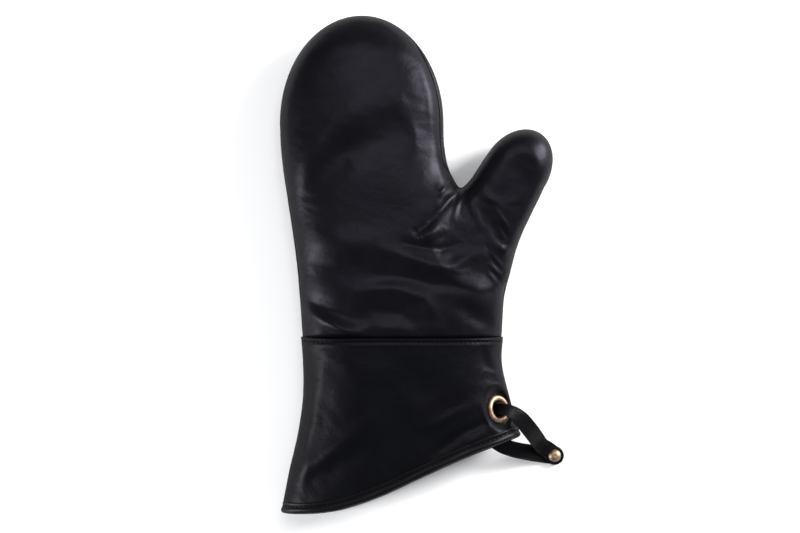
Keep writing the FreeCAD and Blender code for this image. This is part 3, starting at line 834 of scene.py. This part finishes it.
# ---- hem binding ----
def binding_line():
    """Closed line round the mouth on the outside of the cuff."""
    xs = np.linspace(-99.0, 67.6, 260)
    pieces = []
    for side in (1, -1):
        y = hem_y(xs)
        for _ in range(3):
            if side > 0:
                z = cuff_top(xs, y, np.full_like(xs, 20.0))
                z = np.maximum(z, SEAM_Z)
            else:
                z = palm(xs, y, 1.4, CUFF_OUT, PALM_CUFF_POWER)
            y = hem_y(xs) + MOUTH_LEAN * (z - SEAM_Z)
        full = field(xs, y, CUFF_OUT, side)[1]
        points = np.column_stack([xs, y, z])[full > 0.012]
        pieces.append(points if side > 0 else points[::-1])
    loop = np.vstack(pieces)
    loop = resample(loop, BINDING_STEP, closed=True)
    for _ in range(10):
        loop = 0.5 * loop + 0.25 * (np.roll(loop, 1, 0) + np.roll(loop, -1, 0))
    return loop


def binding_frames(loop):
    """For each point: the way along the line, into the cuff along its surface, and outward."""
    ahead = np.roll(loop, -1, 0) - np.roll(loop, 1, 0)
    ahead /= np.linalg.norm(ahead, axis=1)[:, None]
    slope = hem_y(loop[:, 0] + 0.5) - hem_y(loop[:, 0] - 0.5)
    into = np.stack([-slope, np.ones(len(loop)), np.zeros(len(loop))], 1)
    drift = blend(STATIONS, loop[:, 1] + 8, 3) - blend(STATIONS, loop[:, 1], 3)
    into[:, 2] = drift / 8 * np.clip((loop[:, 2] - SEAM_Z) / 20.0, -0.2, 1.0)
    edge = np.clip(1 - np.abs(loop[:, 2] - SEAM_Z) / 9.0, 0, 1)
    lean_left = (blend(STATIONS, loop[:, 1] + 8, 1) - blend(STATIONS, loop[:, 1], 1)) / 8
    lean_right = (blend(STATIONS, loop[:, 1] + 8, 2) - blend(STATIONS, loop[:, 1], 2)) / 8
    lean = np.where(loop[:, 0] < 0, lean_left, lean_right)
    into[:, 0] = into[:, 0] * (1 - edge) + lean * edge
    into -= ahead * np.sum(into * ahead, axis=1)[:, None] * 0.6
    into /= np.linalg.norm(into, axis=1)[:, None]
    out = np.cross(into, ahead)
    out /= np.linalg.norm(out, axis=1)[:, None]
    middle = loop.mean(axis=0)
    if np.sum(out * (loop - middle)) < 0:
        out = -out
    for _ in range(8):
        out = 0.5 * out + 0.25 * (np.roll(out, 1, 0) + np.roll(out, -1, 0))
    out /= np.linalg.norm(out, axis=1)[:, None]
    return ahead, into, out


# How far in from the hem, and how far out from the cuff's surface
BINDING_SECTION = [
    (7.5, -0.5), (7.5, 0.2), (7.4, 0.7), (7.15, 1.0), (6.7, 1.1), (6.1, 0.98), (5.6, 0.82),
    (5.1, 0.70), (4.85, 0.6), (4.6, 0.52), (4.3, 0.6), (3.9, 0.85), (3.4, 1.15), (2.7, 1.4),
    (1.9, 1.45), (1.1, 1.25), (0.4, 0.8), (-0.05, 0.2), (-0.3, -0.6), (-0.35, -1.8), (-0.3, -3.0),
    (-0.05, -3.9), (0.5, -4.6), (1.3, -4.9), (2.6, -5.0), (4.2, -4.9), (4.6, -4.7), (5.0, -4.9),
    (6.4, -5.0), (7.1, -4.9), (7.4, -4.5), (7.45, -4.0),
]


def binding():
    """The folded strip round the mouth, and the line and directions that its stitches follow."""
    loop = binding_line()
    ahead, into, out = binding_frames(loop)
    run = np.cumsum(np.linalg.norm(np.roll(loop, -1, 0) - loop, axis=1))
    points, faces = [], []
    for d, h in BINDING_SECTION:
        wobble = 0.10 * np.sin(run / 5.1 + d) + 0.05 * np.sin(run / 1.75 * math.pi) * (3.6 < d < 5.6)
        points += list(loop + into * d + out * (h + wobble)[:, None])
    count = len(loop)
    for r in range(len(BINDING_SECTION) - 1):
        for i in range(count):
            a, b = r * count + i, r * count + (i + 1) % count
            faces.append((a, b, b + count, a + count))
    points = np.array(points)
    points[:, 2] = np.maximum(points[:, 2], 0.25)
    mesh_object("hem_edge_binding", points, faces, BINDING_LEATHER, ["hem_binding"])
    return loop, ahead, into, out


# ---- stitches ----
# Rings of one stitch: share of its length, share of its thickness, and lift
STITCH_RINGS = [
    (-0.5, 0.25, -0.30), (-0.42, 0.75, -0.10), (-0.2, 1.0, 0.10), (0.0, 1.0, 0.16),
    (0.2, 1.0, 0.10), (0.42, 0.75, -0.10), (0.5, 0.25, -0.30),
]


def stitch_mesh(name, places, nodes, length=2.6, thick=0.74):
    """A row of thread stitches, each a small bent capsule pulled into the leather at its ends."""
    points, faces = [], []
    rings, around = STITCH_RINGS, 8
    for place, ahead, out in places:
        across = np.cross(out, ahead)
        start = len(points)
        for t, size, lift in rings:
            for k in range(around):
                turn = 2 * math.pi * k / around
                offset = across * math.cos(turn) + out * math.sin(turn)
                points.append(place + ahead * (t * length) + out * lift + offset * (thick / 2 * size))
        for r in range(len(rings) - 1):
            for k in range(around):
                a, b = start + r * around + k, start + r * around + (k + 1) % around
                faces.append((a, b, b + around, a + around))
        faces.append(tuple(start + k for k in range(around))[::-1])
        faces.append(tuple(start + (len(rings) - 1) * around + k for k in range(around)))
    mesh_object(name, points, faces, THREAD, nodes)


def cuff_row(side):
    """Places, directions and outward ways of the stitches across one side of the cuff."""
    y = CUFF_Y - CUFF_ROW
    left, right = float(blend(STATIONS, y, 1)) - 1.2, float(blend(STATIONS, y, 2)) + 1.2
    xs = np.arange(left + 2.2, right - 1.6, 0.25)
    ys = np.full_like(xs, y)
    rim = distance_to(np.column_stack([xs, ys]), DENSE_CUFF)[0]
    if side > 0:
        z = cuff_top(xs, ys, rim)
    else:
        z = palm(xs, ys, 0.6, CUFF_OUT, PALM_CUFF_POWER)
    even = resample(np.column_stack([xs, ys, z]), CUFF_PITCH)
    middle = (even[1:] + even[:-1]) / 2
    ahead = even[1:] - even[:-1]
    ahead /= np.linalg.norm(ahead, axis=1)[:, None]
    out = np.cross(ahead, (0, 1.0, 0)) * -side
    out = np.where((out[:, 2] * side < 0)[:, None], -out, out)
    out /= np.linalg.norm(out, axis=1)[:, None]
    return [(m + o * 0.12, a, o) for m, a, o in zip(middle, ahead, out)]


def stitches(loop, ahead, into, out):
    """The rows across the cuff and the two rows along the hem binding."""
    stitch_mesh("cuff_stitches_back", cuff_row(1), ["back_cuff_topstitch"])
    stitch_mesh("cuff_stitches_palm", cuff_row(-1), ["palm_cuff_topstitch"])
    total = np.linalg.norm(np.roll(loop, -1, 0) - loop, axis=1).sum()
    count = int(total / HEM_PITCH)
    closed = np.vstack([loop, loop[:1]])
    lengths = np.concatenate([[0], np.cumsum(np.linalg.norm(np.diff(closed, axis=0), axis=1))])
    for name, depth, node, flip in (
        ("hem_stitches", 0.58, "hem_topstitch", 1),
        ("hem_stitches_inside", -4.85, "hem_inner_stitch", -1),
    ):
        places = []
        for n in range(count):
            at = (n + 0.5) * total / count
            i = int(np.searchsorted(lengths, at)) - 1
            base = loop[i] + ahead[i] * (at - lengths[i])
            place = base + into[i] * HEM_ROW + out[i] * depth
            places.append((place, ahead[i], out[i] * flip))
        stitch_mesh(name, places, [node], length=2.4, thick=0.72)


def lining_thread():
    """Overlocked seam of the lining, inside the hand."""
    line = resample(outline(LINING_IN + 1.6), 4.0)
    line = np.array([p for p in line if p[1] > hem_y(p[0]) + 12])
    ahead = np.gradient(line, axis=0)
    ahead /= np.linalg.norm(ahead, axis=1)[:, None]
    places = []
    for p, a in zip(line, ahead):
        side = np.array([-a[1], a[0], 0.0])
        up = np.array([a[0] * 0.35, a[1] * 0.35, 1.0])
        places.append((np.array([p[0], p[1], SEAM_Z]), up / np.linalg.norm(up), side))
    stitch_mesh("lining_overlock", places, ["lining_seam_thread"], length=3.0, thick=0.6)


hand_pieces()
cuff_pieces()
inner_pieces()
stitches(*binding())
lining_thread()

# ---- hanging strap ----
# Middle of the strap, the way across it, and its width: from the upper end, out and through the
# bore, and back inside and under the cuff to the lower end
FLAT = np.array([0.638, 0.770, 0.0])
BORE = np.array([0.324, 0.808, -0.492])
LOWER_FLAT = np.array([0.13, 0.99, 0.0])
TAB_R = 6.6
STRAP_THICK = 1.6
STRAP_PATH = [
    ((98.7, -139.2, 3.45), FLAT, 12.4), ((93.6, -135.0, 3.45), FLAT, 12.6), ((88.6, -130.9, 3.7), FLAT, 12.2),
    ((83.9, -127.4, 7.6), FLAT, 11.6), ((81.0, -123.4, 14.5), FLAT, 11.6), ((77.3, -118.2, 21.8), FLAT, 11.6),
    ((72.9, -112.6, 27.6), FLAT, 11.6), ((68.4, -107.3, 31.7), FLAT * 0.75 + BORE * 0.25, 11.4),
    ((63.6, -103.2, 33.9), FLAT * 0.35 + BORE * 0.65, 10.4), ((59.2, -100.7, 34.3), BORE, 9.2),
    ((55.4, -99.8, 32.6), BORE, 8.6), ((52.2, -100.2, 29.8), BORE, 8.6), ((48.6, -101.5, 25.7), BORE, 8.6),
    ((45.6, -105.4, 23.1), BORE, 9.4), ((44.8, -112.1, 21.6), BORE * 0.6 + FLAT * 0.4, 10.6),
    ((47.9, -119.7, 19.3), FLAT, 11.2), ((54.3, -125.6, 16.7), FLAT, 11.2),
    ((62.6, -129.3, 12.9), FLAT * 0.5 + LOWER_FLAT * 0.5, 11.2), ((71.3, -131.6, 8.6), LOWER_FLAT, 11.4),
    ((79.0, -133.1, 4.6), LOWER_FLAT, 11.8), ((86.6, -134.2, 1.95), LOWER_FLAT, 12.4),
    ((93.6, -135.0, 1.7), LOWER_FLAT, 12.8), ((100.1, -135.9, 1.7), LOWER_FLAT, 12.8),
]

# Creased line beside each edge: share of the half width, and depth
EDGE_LINES = [
    (0.86, 0.02), (0.82, 0.05), (0.78, 0.18), (0.74, 0.05), (0.66, 0.0), (0.3, 0.0),
    (-0.3, 0.0), (-0.66, 0.0), (-0.74, 0.05), (-0.78, 0.18), (-0.82, 0.05), (-0.86, 0.02),
]


def spline(points, step):
    """Smooth curve through points of any number of values, evenly sampled."""
    points = np.asarray(points, float)
    lengths = np.concatenate([[0], np.cumsum(np.linalg.norm(np.diff(points[:, :3], axis=0), axis=1))])
    table = np.column_stack([lengths, points])
    at = np.linspace(0, lengths[-1], int(lengths[-1] / step) + 1)
    return np.stack([blend(table, at, n) for n in range(1, table.shape[1])], 1)


def strap():
    """The loop as one strap with soft edges and round ends."""
    rows = spline([(*p, *(side / np.linalg.norm(side)), width) for p, side, width in STRAP_PATH], STRAP_STEP)
    middle, side, width = rows[:, :3], rows[:, 3:6], rows[:, 6]
    ahead = np.gradient(middle, axis=0)
    ahead /= np.linalg.norm(ahead, axis=1)[:, None]
    side -= ahead * np.sum(side * ahead, axis=1)[:, None]
    side /= np.linalg.norm(side, axis=1)[:, None]
    thick = np.cross(side, ahead)
    gone = np.concatenate([[0], np.cumsum(np.linalg.norm(np.diff(middle, axis=0), axis=1))])
    ends = np.minimum(gone, gone[-1] - gone)
    half = np.minimum(width / 2, np.sqrt(np.maximum(TAB_R ** 2 - np.maximum(TAB_R - ends, 0) ** 2, 0.3)))
    edge = 0.5
    corner = np.radians([0, 30, 60, 90])
    section = []
    for sx, sz, turns in ((1, 1, corner), (-1, 1, corner[::-1]), (-1, -1, corner), (1, -1, corner[::-1])):
        for turn in turns:
            section.append((sx, sz, math.cos(turn), math.sin(turn)))
        if (sx, sz) in ((1, 1), (-1, -1)):
            section += [(sx * u, sz, None, h) for u, h in EDGE_LINES]
    points, faces = [], []
    for i in range(len(middle)):
        for sx, sz, c, h in section:
            if c is None:
                u, v = sx * half[i], sz * (STRAP_THICK / 2 - h)
            else:
                u = sx * (half[i] - min(edge, half[i] * 0.5) * (1 - c))
                v = sz * (STRAP_THICK / 2 - edge + edge * h)
            points.append(middle[i] + side[i] * u + thick[i] * v)
    count = len(section)
    for i in range(len(middle) - 1):
        for k in range(count):
            a, b = i * count + k, i * count + (k + 1) % count
            faces.append((a, b, b + count, a + count))
    faces.append(tuple(range(count))[::-1])
    faces.append(tuple((len(middle) - 1) * count + k for k in range(count)))
    mesh_object("loop_strap", points, faces, STRAP_LEATHER, ["hanging_strap"], "loop")


strap()
for name in ("eyelet", "eyelet_washer", "rivet_cap", "rivet_post"):
    piece = frame["nodes"][name]
    piece.data.materials.clear()
    piece.data.materials.append(BRASS)

# ---- floor, light and camera ----
floor_mesh = bpy.data.meshes.new("floor")
reach = 3.0
corners = [(-reach, -reach, 0), (reach, -reach, 0), (reach, reach, 0), (-reach, reach, 0)]
floor_mesh.from_pydata(corners, [], [(0, 1, 2, 3)])
floor = bpy.data.objects.new("floor", floor_mesh)
floor.location.z = -0.0004
bpy.context.scene.collection.objects.link(floor)
paper = {"Base Color": (0.93, 0.93, 0.93, 1), "Roughness": 0.9, "Specular IOR Level": 0.1}
floor_mesh.materials.append(node_material("paper", paper)[0])


# Name, place, point aimed at, width, height, watts
LIGHTS = [
    ("right_strip", (1.02, 0.52, 0.46), (0, 0.10, 0), 0.40, 0.8, 34.0),
    ("left_strip", (-1.08, -0.36, 0.50), (0, -0.05, 0), 0.40, 0.7, 15.0),
    ("top_panel", (0.0, 0.80, 2.00), (0, 0, 0), 1.2, 0.8, 12.0),
]
for name, place, target, width, height, watts in LIGHTS:
    lamp = bpy.data.lights.new(name, "AREA")
    lamp.shape = "RECTANGLE"
    lamp.size, lamp.size_y = width, height
    lamp.energy = watts
    panel = bpy.data.objects.new(name, lamp)
    panel.location = place
    panel.rotation_euler = (Vector(target) - Vector(place)).to_track_quat("-Z", "Y").to_euler()
    bpy.context.scene.collection.objects.link(panel)

world = bpy.data.worlds.new("studio")
world.use_nodes = True
world.node_tree.nodes["Background"].inputs["Color"].default_value = (0.9, 0.93, 1.0, 1)
world.node_tree.nodes["Background"].inputs["Strength"].default_value = 0.29
bpy.context.scene.world = world
bpy.context.scene.view_settings.view_transform = "Standard"
bpy.context.scene.view_settings.exposure = 0.2

lens = bpy.data.cameras.new("camera")
lens.lens = 85.0
lens.sensor_width = 36.0
camera = bpy.data.objects.new("camera", lens)
camera.location = (-0.0162, -0.0007, 1.345)
bpy.context.scene.collection.objects.link(camera)
bpy.context.scene.camera = camera
